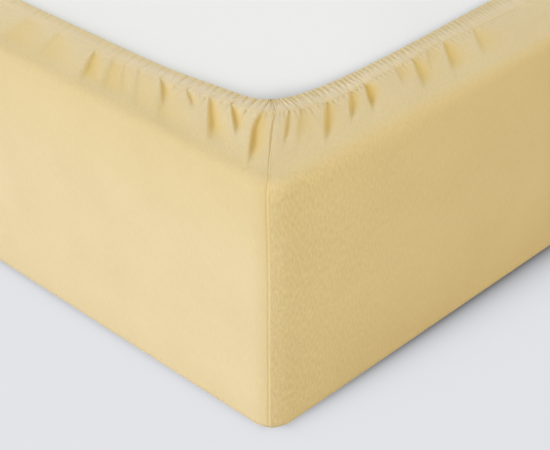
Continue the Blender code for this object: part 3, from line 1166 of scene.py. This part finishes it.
@dataclass
class SheetPanel:
    """The cloth from under the mattress up its walls and in over it, as far as the hem."""

    lie: Lie
    flaps: list[Flap]
    # Its rows, and the columns round the corner that shows and round the others.
    foot_steps: int = 5
    wall_rows: tuple[float, ...] = (0.12, 0.30, 0.50, 0.70, 0.86, 0.95)
    brim_steps: int = 7
    flap_rows: tuple[float, ...] = (
        0.05, 0.12, 0.20, 0.28, 0.36, 0.44, 0.52, 0.59, 0.65, 0.71, 0.76, 0.805,
        0.84, 0.87, 0.895, 0.915, 0.935, 0.952, 0.967, 0.98, 0.99, 1.00,
    )  # fmt: skip
    near_steps: Steps = (
        (0.0, 0.00024), (0.003, 0.00024), (0.010, 0.0008), (0.26, 0.0011), (0.42, 0.010), (1.0, 0.012),
    )  # fmt: skip
    far_steps: Steps = (
        (0.0, 0.00040), (0.003, 0.00040), (0.012, 0.0016), (0.26, 0.0021), (0.42, 0.012), (1.0, 0.014),
    )  # fmt: skip
    edge_tuck: float = 0.0001
    tuck_from: float = 0.975
    # The corner seam: a ridge and a groove, each to one side of it, which wander on the wall.
    seam_ridge: float = 0.00045
    seam_groove: float = 0.00050
    seam_width: float = 0.0006
    seam_apart: float = 0.8
    seam_pucker: float = 0.25
    seam_pucker_pitch: float = 0.0032
    seam_walk: tuple[float, float] = (-0.0020, -0.0030)
    seam_turns: tuple[float, float] = (0.14, 0.22)
    seam_tint: float = 0.35
    seam_tint_at: float = 0.3
    # Where the cloth is drawn thin: over the flap, and most next to the hem.
    worn: float = 0.38
    flap_worn: float = 0.15
    worn_reach: float = 0.0050
    # Painted shade: its deeper yellow towards the brim, which less of the floor's bluish bounce
    # light reaches, on the end walls and on the long ones.
    side_begins: tuple[float, float] = (-0.002, 0.002)
    dusk: tuple[float, float] = (0.22, 0.08)
    dusk_from: float = 0.11
    dusk_power: float = 1.5
    dusk_fades: int = 4
    brim_band: float = 0.006
    # Painted shade on the brim over the end walls, which dims its highlight, on the long walls'
    # middles and at their feet.
    brim_shade: float = 0.075
    brim_shade_lean: float = 1.2
    middle_shade: float = 0.055
    middle_reach: float = 0.22
    foot_shade: float = 0.062
    foot_shade_top: float = 0.17
    # How rough the face is: on the end walls, on the long ones away from a corner, on the flap.
    end_nap: float = 0.05
    side_nap: float = 0.15
    side_nap_reach: float = 0.11
    side_nap_power: float = 1.5
    flap_nap: float = 0.40

    def columns(self, flap: Flap) -> Array:
        """The columns round one corner, finest at its seam and among its gathers."""
        steps = self.near_steps if flap.corner.turns == 0 else self.far_steps
        return graded(-flap.end(False), flap.end(True), steps)

    def seam(self, column: Array, run: Array | float) -> Array:
        """Height of the corner seam: a ridge beside a groove, a little puckered."""
        aside = self.seam_apart * self.seam_width
        pucker = 1 + self.seam_pucker * np.sin(2 * math.pi * run / self.seam_pucker_pitch)
        ridge = self.seam_ridge * bump(column, aside, self.seam_width) * pucker
        return ridge - self.seam_groove * bump(column, -aside, self.seam_width)

    def _wall_part(self, flap: Flap, column: Array) -> list[Array]:
        """Rows from the flat underside up to the top of the brim, at one corner."""
        lie = self.lie
        walk, rounding = flap.brim_walk(column)
        near_seam = bump(column, 0.0, flap.seam_spread)
        rows = []

        def add_row(inset: Array | float, height: Array | float, out: float, up: float) -> None:
            """Adds one row, with the seam raised outwards and upwards by the last two shares."""
            level = np.broadcast_to(np.asarray(height, float), column.shape)
            moved = walk + mix(*self.seam_walk, smoothstep(*self.seam_turns, level)) * near_seam
            raised = self.seam(column, level)
            x, y = flap.wall_plan(moved, inset - (raised * out + flap.pinch(moved)))
            rows.append(np.stack([x, y, level + raised * up], axis=-1))

        for step in range(self.foot_steps + 1):
            turn = math.pi / 2 * step / self.foot_steps
            out = math.sin(turn)
            add_row(lie.foot_radius * (1 - out), lie.foot_radius * (1 - math.cos(turn)), out, 0.0)
        for share in self.wall_rows:
            add_row(0.0, mix(lie.foot_radius, lie.height - rounding, share), 1.0, 0.0)
        for step in range(self.brim_steps + 1):
            turn = math.pi / 2 * step / self.brim_steps
            out, up = math.cos(turn), math.sin(turn)
            add_row(rounding * (1 - out), lie.height - rounding * (1 - up), out, up)
        return rows

    def _flap_part(self, flap: Flap, column: Array) -> tuple[list[Array], dict[str, list[Array]]]:
        """Rows of the turned-in flap at one corner, and their masks."""
        rows, masks = [], {"painted_glow_and_shade": [], "draw": [], "shade": []}
        for share in self.flap_rows:
            points, painted_glow_and_shade = flap.surface(column, share)
            points[:, 2] += self.seam(column, share * flap.stitch_inset) * (1 - share)
            points[:, 2] -= self.edge_tuck * smoothstep(self.tuck_from, 1.0, share)
            near_hem = math.exp(-(1 - share) * flap.stitch_inset / self.worn_reach)
            dusk = self._dusk(flap, column, points) * (1 - share) ** self.dusk_fades
            rows.append(points)
            # Painted glow and shade in the folds, the painted deeper yellow by the brim, and painted
            # shade on the folds' rims.
            masks["painted_glow_and_shade"].append(painted_glow_and_shade + dusk)
            masks["draw"].append(mix(self.flap_worn * share, self.worn, near_hem) * (1 - painted_glow_and_shade))
            masks["shade"].append(flap.rim_shade(column, share))
        return rows, masks

    def build(self, material: bpy.types.Material) -> bpy.types.Object:
        """Makes the panel.

        Args:
            material: The jersey.

        Returns:
            The piece.
        """
        parts, masks = [], {"painted_glow_and_shade": [], "draw": [], "nap": [], "shade": []}
        for flap in self.flaps:
            column = self.columns(flap)
            wall = self._wall_part(flap, column)
            turned_in, on_flap = self._flap_part(flap, column)
            points = np.stack(wall + turned_in)
            parts.append(points)
            seam_at = self.seam_tint_at * self.seam_width
            on_seam = self.seam_tint * bump(column, seam_at, self.seam_width)
            # Painted deeper yellow by the brim on the walls, with the seam's golden line.
            creases = [on_seam + self._dusk(flap, column, row) for row in wall]
            plain = [np.zeros_like(column)] * len(wall)
            # Painted shade on the brim, on the long walls and, on the flap, on the folds' rims.
            shade = self._shade(flap, column, points[..., 2])
            masks["painted_glow_and_shade"].append(np.stack(creases + on_flap["painted_glow_and_shade"]))
            masks["draw"].append(np.stack(plain + on_flap["draw"]))
            masks["nap"].append(self._nap(flap, column, points[..., 2]))
            masks["shade"].append(shade + np.stack(plain + on_flap["shade"]))
        points = np.concatenate(parts, axis=1)
        foot = points[self.foot_steps + 1]
        girth = run_lengths(foot[None], 1)[0]
        wrap = float(girth[-1] + np.linalg.norm(foot[0] - foot[-1]))
        climb = run_lengths(points, 0)
        uv = np.stack([np.broadcast_to(girth, climb.shape), climb], axis=-1)
        item = grid_object("sheet_panel", points, uv, closed=True, wrap=wrap, caps=(True, False))
        for name, values in masks.items():
            add_mask(item, name, np.concatenate(values, axis=1))
        return finish_piece(item, material)

    def _dusk(self, flap: Flap, column: Array, points: Array) -> Array:
        """Painted deeper yellow of the face towards the brim, which less bounce light reaches."""
        strength = mix(*self.dusk, flap.corner.towards_side(column, *self.side_begins))
        top = self.lie.height - self.brim_band
        return strength * smoothstep(self.dusk_from, top, points[..., 2]) ** self.dusk_power

    def _shade(self, flap: Flap, column: Array, height: Array) -> Array:
        """Painted shade on the brim over the end walls, and on the long walls."""
        side = flap.corner.towards_side(column, *self.side_begins)
        first = self.foot_steps + 1 + len(self.wall_rows)
        turns = np.clip((np.arange(len(height)) - first + 1) / (self.brim_steps + 1), 0.0, 1.0)
        on_brim = self.brim_shade * np.sin(math.pi * turns**self.brim_shade_lean) * (turns < 1)
        away = 1 - np.exp(-((np.abs(column) / self.middle_reach) ** 2))
        low = 1 - smoothstep(0.0, self.foot_shade_top, height)
        return on_brim[:, None] * (1 - side) + side * mix(self.foot_shade * low, self.middle_shade, away)

    def _nap(self, flap: Flap, column: Array, height: Array) -> Array:
        """How rough the face is: smooth on the end walls, where it is stretched most."""
        near = np.exp(-((np.abs(column) / self.side_nap_reach) ** self.side_nap_power))
        on_wall = np.where(flap.corner.on_side(column), mix(self.side_nap, 1.0, near), self.end_nap)
        top = self.lie.height
        return mix(on_wall, self.flap_nap, smoothstep(top - self.brim_band, top, height))


@dataclass
class Hem:
    """The gathered hem round one corner: a flat band, then the tube that holds the elastic."""

    lie: Lie
    flap: Flap
    # Its section: the band, from the stitches to the tube's shoulder, then the tube, in degrees
    # round it, and the underside, as a share of the width and of the way up to the stitches.
    band_steps: int = 11
    band_swell: float = 0.0004
    band_arch: float = 1.5
    tuck: float = 0.0004
    tuck_back: float = 2.5
    tube_steps: int = 12
    tube_turns: tuple[float, float] = (108.0, -95.0)
    tube_radius: float = 0.0038
    tube_rise: float = 0.0030
    underside_at: float = 0.45
    underside_rise: float = 0.3
    # The small valleys: their depth, what the stitches leave of it, how far round the tube they
    # keep their slant, and between which turns they fade under it.
    band_rib: float = 0.0013
    held_rib: float = 0.3
    tube_rib: float = 0.0015
    rib_keeps: float = 0.6
    rib_fades: tuple[float, float] = (-80.0, -20.0)
    # The painted glow and shade in the small valleys.
    rib_tint: float = 0.46
    # Where it looks worn: less at the stitches, on the shoulder and on the tube, and less far
    # from a corner, along the long walls and along the end ones.
    fuzz: float = 0.75
    worn_at_stitches: float = 0.50
    worn_full_at: float = 0.45
    worn_shoulder: float = 0.35
    shoulder: tuple[float, float] = (0.50, 0.90)
    worn_tube: float = 0.25
    worn_underside: float = 0.35
    far_between: tuple[float, float] = (0.11, 0.19)
    far_fuzz: tuple[float, float] = (0.75, 0.50)
    # Painted shade on the hem far from a corner, along the long walls.
    far_shade: float = 0.035
    # The deeper yellow of the bunched cloth at the corner.
    knot_tint: float = 0.45
    knot_at: float = 0.002
    knot_spread: float = 0.009
    # Its columns, round the corner that shows and round the others.
    near_steps: Steps = ((0.0, 0.00045), (0.30, 0.00050), (0.45, 0.0012), (1.0, 0.0012))
    far_steps: Steps = ((0.0, 0.0007), (0.30, 0.0008), (0.45, 0.0014), (1.0, 0.0014))

    def columns(self) -> Array:
        """The columns round the corner, with the next corner's first one added at the end."""
        end = self.flap.end(True)
        steps = self.near_steps if self.flap.corner.turns == 0 else self.far_steps
        return np.append(graded(-self.flap.end(False), end, steps), end)

    def section(self, offset: Array) -> tuple[Array, Array, Array, Array]:
        """The hem's section at each column.

        Args:
            offset: Where, round the corner.

        Returns:
            Rows of inward distances, of heights and of rib depths, and how worn each row is.
        """
        flap = self.flap
        width = flap.hem_width(offset)
        stitch = flap.stitch_height(offset)
        lift = flap.lift * bump(offset, 0.0, flap.lift_spread)
        centre = self.lie.mattress_top + self.lie.snug_gap + lift + self.tube_rise
        first = math.radians(self.tube_turns[0])
        shoulder_in = width + self.tube_radius * math.cos(first)
        shoulder_up = centre + self.tube_rise * math.sin(first)
        rows = []
        for step in range(-1, self.band_steps):
            t = max(0.0, step / self.band_steps)
            arch = math.sin(math.pi * t) ** self.band_arch
            ribs = flap.ribs(offset, shoulder_in * t)
            rib = self.band_rib * ribs * mix(self.held_rib, 1.0, arch)
            tucked = self.tuck if step < 0 else 0.0
            height = mix(stitch, shoulder_up, t) + self.band_swell * arch - rib - tucked
            worn = mix(self.worn_at_stitches, 1.0, smoothstep(0.0, self.worn_full_at, t))
            worn = worn * mix(1.0, self.worn_shoulder, smoothstep(*self.shoulder, t))
            rows.append((shoulder_in * t - self.tuck_back * tucked, height, ribs, worn))
        for step in range(self.tube_steps + 1):
            turn = mix(*self.tube_turns, step / self.tube_steps)
            angle = math.radians(turn)
            ribs = flap.ribs(offset, shoulder_in + self.rib_keeps * self.tube_radius * (first - angle))
            pressed = self.tube_rib * ribs * float(smoothstep(*self.rib_fades, turn))
            inward = width + (self.tube_radius - pressed) * math.cos(angle)
            height = centre + (self.tube_rise - pressed) * math.sin(angle)
            rows.append((inward, height, ribs, self.worn_tube))
        height = mix(centre - self.tube_rise, stitch, self.underside_rise)
        rows.append((self.underside_at * width, height, np.zeros_like(offset), self.worn_underside))
        inward, height, depth, worn = zip(*rows)
        return np.stack(inward), np.stack(height), np.stack(depth), np.array(worn)

    def place(self, offset: Array, inward: Array, height: Array) -> Array:
        """Points at an inward distance from the stitches, and a height."""
        x, y = self.flap.inward(offset, inward)
        return np.stack([x, y, np.broadcast_to(height, x.shape)], axis=-1)

    def build(self, material: bpy.types.Material) -> bpy.types.Object:
        """Makes the hem of this corner.

        Args:
            material: The jersey.

        Returns:
            The piece.
        """
        corner = self.flap.corner
        offset = self.flap.drawn(self.columns(), 1.0)
        inward, height, depth, worn = self.section(offset)
        points = self.place(offset, inward, height)
        uv = np.stack([run_lengths(points, 1), run_lengths(points, 0)], axis=-1)
        item = grid_object(f"hem_{corner.turns + 1}", points, uv, closed=False)
        depth = np.clip(depth, 0.0, 1.0)
        worn = worn[:, None]
        side = corner.on_side(offset)
        far = smoothstep(*self.far_between, np.abs(offset))
        faded = mix(1.0, np.where(side, *self.far_fuzz), far)
        knot = self.knot_tint * bump(offset, self.knot_at, self.knot_spread) * (1 - worn)
        # Painted glow and shade in the small valleys, the deeper yellow at the corner, and painted shade
        # far along the long walls.
        add_mask(item, "painted_glow_and_shade", self.rib_tint * depth + knot)
        add_mask(item, "draw", self.fuzz * (1 - depth) * worn * faded)
        add_mask(item, "shade", np.broadcast_to(np.where(side, self.far_shade, 0.0) * far, depth.shape))
        return finish_piece(item, material)


@dataclass
class HemStitches:
    """The row of stitches that closes the tunnel, in the groove below the band."""

    hem: Hem
    length: float = 0.0023
    pitch: float = 0.0031
    radius: float = 0.00022
    arch: float = 0.00045
    sunk: float = 0.0003
    sides: int = 5
    beads: tuple[float, ...] = (0.45, 1.0, 1.0, 0.45)

    def _points(self) -> Array:
        """Points of every stitch, by stitch, bead along it and side round it."""
        hem, flap = self.hem, self.hem.flap
        middles = np.arange(-flap.end(False) + self.pitch, flap.end(True) - self.pitch, self.pitch)
        along = np.linspace(-0.5, 0.5, len(self.beads)) * self.length
        offset = middles[:, None] + along[None, :]
        height = flap.stitch_height(offset) - hem.band_rib * flap.ribs(offset, 0.0) * hem.held_rib
        arch = self.arch * (1 - (2 * along / self.length) ** 2)
        centre = hem.place(offset, np.full_like(offset, self.sunk), height + arch - self.sunk)
        tangent = np.gradient(centre, axis=1)
        tangent /= np.linalg.norm(tangent, axis=-1, keepdims=True)
        aside = np.cross(tangent, np.array([0.0, 0.0, 1.0]))
        aside /= np.linalg.norm(aside, axis=-1, keepdims=True)
        lifted = np.cross(aside, tangent)
        thick = self.radius * np.array(self.beads)[None, :, None]
        turns = [2 * math.pi * side / self.sides for side in range(self.sides)]
        rings = [centre + thick * (math.cos(turn) * aside + math.sin(turn) * lifted) for turn in turns]
        return np.stack(rings, axis=2)

    def _faces(self, count: int) -> list[list[int]]:
        """Faces of that many stitches: their sides, then the ends of each."""
        beads, sides = len(self.beads), self.sides
        base = (np.arange(count) * beads * sides)[:, None, None]
        base = base + (np.arange(beads - 1) * sides)[None, :, None]
        side = np.arange(sides)[None, None, :]
        a, b = base + side, base + (side + 1) % sides
        quads = np.stack([a, b, b + sides, a + sides], axis=-1).reshape(-1, 4)
        first = (np.arange(count) * beads * sides)[:, None] + np.arange(sides)[::-1]
        last = first[:, ::-1] + (beads - 1) * sides
        return quads.tolist() + first.tolist() + last.tolist()

    def build(self, material: bpy.types.Material) -> bpy.types.Object:
        """Makes the stitches of this corner as one mesh.

        Args:
            material: The thread.

        Returns:
            The piece.
        """
        name = f"hem_stitches_{self.hem.flap.corner.turns + 1}"
        points = self._points()
        mesh = bpy.data.meshes.new(name)
        mesh.from_pydata(points.reshape(-1, 3).tolist(), [], self._faces(len(points)))
        mesh.shade_smooth()
        return finish_piece(new_object(name, mesh), material)


@dataclass
class MattressBody:
    """The foam mattress in its white cover, face down inside the sheet."""

    lie: Lie
    flaps: list[Flap]
    # Its columns, the rows of its two roundings, the lines at distances in from the hem, and the
    # rings further in, each as a share of the last of those lines.
    column_steps: Steps = ((0.0, 0.0025), (0.06, 0.003), (0.12, 0.012), (1.0, 0.03))
    steps: int = 5
    from_hem: tuple[float, ...] = (
        -0.045, -0.020, -0.006, -0.001, 0.002, 0.004, 0.006, 0.009, 0.012, 0.016, 0.022, 0.035,
        0.060, 0.10,
    )  # fmt: skip
    rings: tuple[float, ...] = (0.85, 0.65, 0.45, 0.25, 0.08)
    # How far below its box the brim and the slightly wavy top lie.
    dip: float = 0.0005
    swell: float = 0.00025
    swell_waves: tuple[float, float] = (14.0, 9.0)
    swell_shift: float = 0.6
    # The hem's shade on it: at the corner, beside it on both kinds of wall, and far from it.
    shade_corner: float = 0.95
    shade_end: float = 0.36
    shade_side: float = 0.66
    shade_far: float = 0.60
    shade_spread: float = 0.042
    shade_out: tuple[float, float] = (0.08, 0.20)
    shade_reach: tuple[float, float] = (0.0062, 0.0074)
    inset_changes: float = 0.03
    wide_shade: float = 0.075
    wide_reach: float = 0.15

    def build(self, material: bpy.types.Material) -> bpy.types.Object:
        """Makes the mattress.

        Args:
            material: Its cover.

        Returns:
            The piece.
        """
        parts, masks = [], []
        for flap in self.flaps:
            offset = graded(-flap.end(False), flap.end(True), self.column_steps)
            rows = self._roundings(flap, offset)
            shades = [np.zeros_like(offset)] * len(rows)
            for distance in self.from_hem:
                x, y = flap.beyond_hem(offset, distance)
                rows.append(np.stack([x, y, self._level(x, y)], axis=-1))
                shades.append(self._shade(flap, offset, distance))
            parts.append(np.stack(rows))
            masks.append(np.stack(shades))
        points, mask = np.concatenate(parts, axis=1), np.concatenate(masks, axis=1)
        inner = []
        for scale in self.rings:
            ring = points[-1] * np.array([scale, scale, 1.0])
            ring[:, 2] = self._level(ring[:, 0], ring[:, 1])
            inner.append(ring)
        points = np.concatenate([points, np.stack(inner)])
        mask = np.concatenate([mask, np.zeros((len(inner), mask.shape[1]))])
        item = grid_object("mattress_block", points, points[..., :2], closed=True, caps=(True, True))
        # Painted shade that the hem casts on the cover.
        add_mask(item, "painted_glow_and_shade", mask)
        return finish_piece(item, material)

    def _roundings(self, flap: Flap, offset: Array) -> list[Array]:
        """Rows round its foot, then round its brim, at one corner."""
        lie = self.lie
        walk, brim = flap.brim_walk(offset)
        foot, brim = lie.foot_radius - lie.inside, brim - lie.inside
        turns = [math.pi / 2 * step / self.steps for step in range(self.steps + 1)]
        rows = []
        for turn in turns:
            x, y = flap.wall_plan(walk, lie.inside + foot * (1 - math.sin(turn)))
            level = lie.cloth + lie.snug_gap + foot * (1 - math.cos(turn))
            rows.append(np.stack([x, y, np.full_like(x, level)], axis=-1))
        for turn in turns:
            x, y = flap.wall_plan(walk, lie.inside + brim * (1 - math.cos(turn)))
            level = lie.mattress_top - self.dip - brim * (1 - math.sin(turn))
            rows.append(np.stack([x, y, level], axis=-1))
        return rows

    def _level(self, x: Array, y: Array) -> Array:
        """Height of the top, which isn't quite flat."""
        wave = np.sin(x * self.swell_waves[0]) * np.cos(y * self.swell_waves[1] + self.swell_shift)
        return self.lie.mattress_top - self.swell * (1 + wave)

    def _shade(self, flap: Flap, offset: Array, distance: float) -> Array:
        """How much the hem that stands over it shades the cover."""
        near = bump(offset, 0.0, self.shade_spread)
        leaving = smoothstep(-self.inset_changes, self.inset_changes, offset)
        inset = mix(flap.tube_inset(False, offset), flap.tube_inset(True, offset), leaving)
        away = np.maximum(distance + flap.tube_inset_side - inset, 0.0)
        out = smoothstep(*self.shade_out, np.abs(offset))
        side = flap.corner.on_side(offset)
        far = mix(np.where(side, self.shade_side, self.shade_end), self.shade_far, out)
        fading = np.exp(-((away / mix(*self.shade_reach, near)) ** 2))
        wide = np.where(side, self.wide_shade, 0.0) * out
        wide = wide * math.exp(-max(distance, 0.0) / self.wide_reach)
        return mix(far, self.shade_corner, near) * fading + wide


# -------------------------------------------------------------------------------- the studio


@dataclass(frozen=True)
class SoftLight:
    """A wide, far light: the way it comes from, its strength, its softness and its colour."""

    name: str
    comes_from: tuple[float, float, float]
    strength: float
    angle: float
    colour: Rgb

    def build(self) -> None:
        """Adds the light."""
        data = bpy.data.lights.new(self.name, "SUN")
        data.energy = self.strength
        data.angle = math.radians(self.angle)
        data.color = self.colour
        item = new_object(self.name, data)
        item.rotation_euler = Vector(self.comes_from).to_track_quat("Z", "Y").to_euler()


@dataclass
class Studio:
    """Floor, light and camera, as in the photograph."""

    lie: Lie
    flaps: list[Flap]
    floor_columns: int = 60
    floor_rings: tuple[float, ...] = (
        -0.020, -0.008, -0.004, 0.0, 0.003, 0.006, 0.010, 0.015, 0.021, 0.028, 0.036, 0.048,
        0.065, 0.10, 0.3, 1.0, 4.0, 15.0,
    )  # fmt: skip
    # The shade at the foot of a long wall and of an end wall: at the corner, what it gains, over
    # what distance, and its most. Then how wide it is, how it widens, and its widest.
    side_shade: tuple[float, float, float, float] = (0.22, 0.64, 0.075, 0.84)
    end_shade: tuple[float, float, float, float] = (0.16, 0.14, 0.3, 0.28)
    side_width: tuple[float, float, float] = (0.005, 0.030, 0.018)
    end_width: float = 0.0038
    under: float = 0.005
    sky_colour: Rgb = (1.0, 0.987, 0.955)
    sky_strength: float = 0.54
    lights: tuple[SoftLight, ...] = (
        SoftLight("key_light", (-0.40, -0.90, 0.25), 1.90, 50.0, (0.92, 0.925, 1.0)),
        SoftLight("ceiling_light", (0.0, -0.10, 1.0), 0.70, 60.0, (0.62, 0.78, 1.0)),
        SoftLight("warm_fill", (0.97, 0.05, 0.37), 0.885, 55.0, (1.0, 0.71, 0.02)),
    )
    lens: float = 99.55
    sensor: float = 36.0
    sees_to: float = 100.0
    camera_from_corner: tuple[float, float, float] = (0.60746, -0.62522, 0.76015)
    looks_towards: tuple[float, float, float] = (-0.58298, 0.60265, -0.54492)

    def build(self) -> None:
        """Adds the floor, the lights, the sky and the camera."""
        self._floor()
        for light in self.lights:
            light.build()
        world = bpy.data.worlds.new("studio")
        world.use_nodes = True
        sky = world.node_tree.nodes["Background"]
        sky.inputs["Color"].default_value = (*self.sky_colour, 1.0)
        sky.inputs["Strength"].default_value = self.sky_strength
        scene = bpy.context.scene
        scene.world = world
        scene.view_settings.view_transform = "Standard"
        scene.camera = self._camera()

    def _camera(self) -> bpy.types.Object:
        """Adds the camera, placed from the foot of the corner that shows."""
        data = bpy.data.cameras.new("camera")
        data.lens = self.lens
        data.sensor_width = self.sensor
        data.clip_end = self.sees_to
        camera = new_object("camera", data)
        corner = Vector((self.lie.wall_x, -self.lie.wall_y, 0.0))
        camera.location = corner + Vector(self.camera_from_corner)
        camera.rotation_euler = Vector(self.looks_towards).to_track_quat("-Z", "Y").to_euler()
        return camera

    def _floor(self) -> None:
        """Adds the plain pale floor, with the soft shade close to the mattress."""
        parts, masks = [], []
        for flap in self.flaps:
            start, end = -flap.corner.half(False), flap.corner.half(True)
            walk = np.linspace(start, end, self.floor_columns)[:-1]
            level = np.zeros_like(walk)
            rings = [np.stack([*flap.wall_plan(walk, -out), level], axis=-1) for out in self.floor_rings]
            parts.append(np.stack(rings))
            masks.append(self._floor_shade(walk, flap.corner.on_side(walk)))
        points = np.concatenate(parts, axis=1)
        floor = grid_object("floor", points, points[..., :2], closed=True, caps=(True, False))
        add_mask(floor, "shade", np.concatenate(masks, axis=1))
        floor.data.materials.append(FLOOR.material())

    def _floor_shade(self, walk: Array, side: Array) -> Array:
        """How dark the floor is, by its rings.

        Args:
            walk: Where, round the corner.
            side: Whether each place is at a long wall.

        Returns:
            The mask, by ring and place.
        """
        away = np.abs(walk)
        start, gain, over, most = self.side_shade
        on_side = np.minimum(start + gain * (1 - np.exp(-away / over)), most)
        start, gain, over, most = self.end_shade
        on_end = np.minimum(start + gain * away / over, most)
        narrow, widens, widest = self.side_width
        reach = np.where(side, np.minimum(narrow + widens * away, widest), self.end_width)
        out = np.maximum(np.array(self.floor_rings), -self.under)[:, None] + self.under
        return np.where(side, on_side, on_end) * np.exp(-out / reach)


# ---------------------------------------------------------------------------------- the part


@dataclass
class FittedSheet:
    """The whole part: the sheet's pieces and the mattress that it is drawn over."""

    lie: Lie
    cut_width: float = 1.50
    cut_length: float = 2.60
    cut_square: float = 0.30
    flaps: list[Flap] = field(default_factory=list)

    def __post_init__(self) -> None:
        """Works out the four flaps."""
        self.flaps = [
            Flap(corner, Puckers(corner, MAIN_GATHERS), Puckers(corner, FINE_GATHERS))
            for corner in make_corners(self.lie)
        ]

    def build(self) -> None:
        """Makes every piece and logs how many faces each has."""
        knit, nap = knit_group(), nap_group()
        jersey = JERSEY.material(knit, nap)
        cover = COVER.material(knit, nap)
        thread = THREAD.material()
        panel = SheetPanel(self.lie, self.flaps).build(jersey)
        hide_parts("fitted_sheet")
        on_it = []
        for flap in self.flaps:
            hem = Hem(self.lie, flap)
            on_it += [hem.build(jersey), HemStitches(hem).build(thread)]
        block = MattressBody(self.lie, self.flaps).build(cover)
        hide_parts("mattress")
        for piece in [panel, *on_it, block]:
            log.info("%s: %d faces", piece.name, len(piece.data.polygons))


def main() -> None:
    """Builds the part and the studio."""
    logging.basicConfig(level=logging.INFO, format="%(name)s %(message)s")
    lie = Lie.from_frame()
    sheet = FittedSheet(lie)
    sheet.build()
    Studio(lie, sheet.flaps).build()
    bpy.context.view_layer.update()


if __name__ == "__main__":
    main()
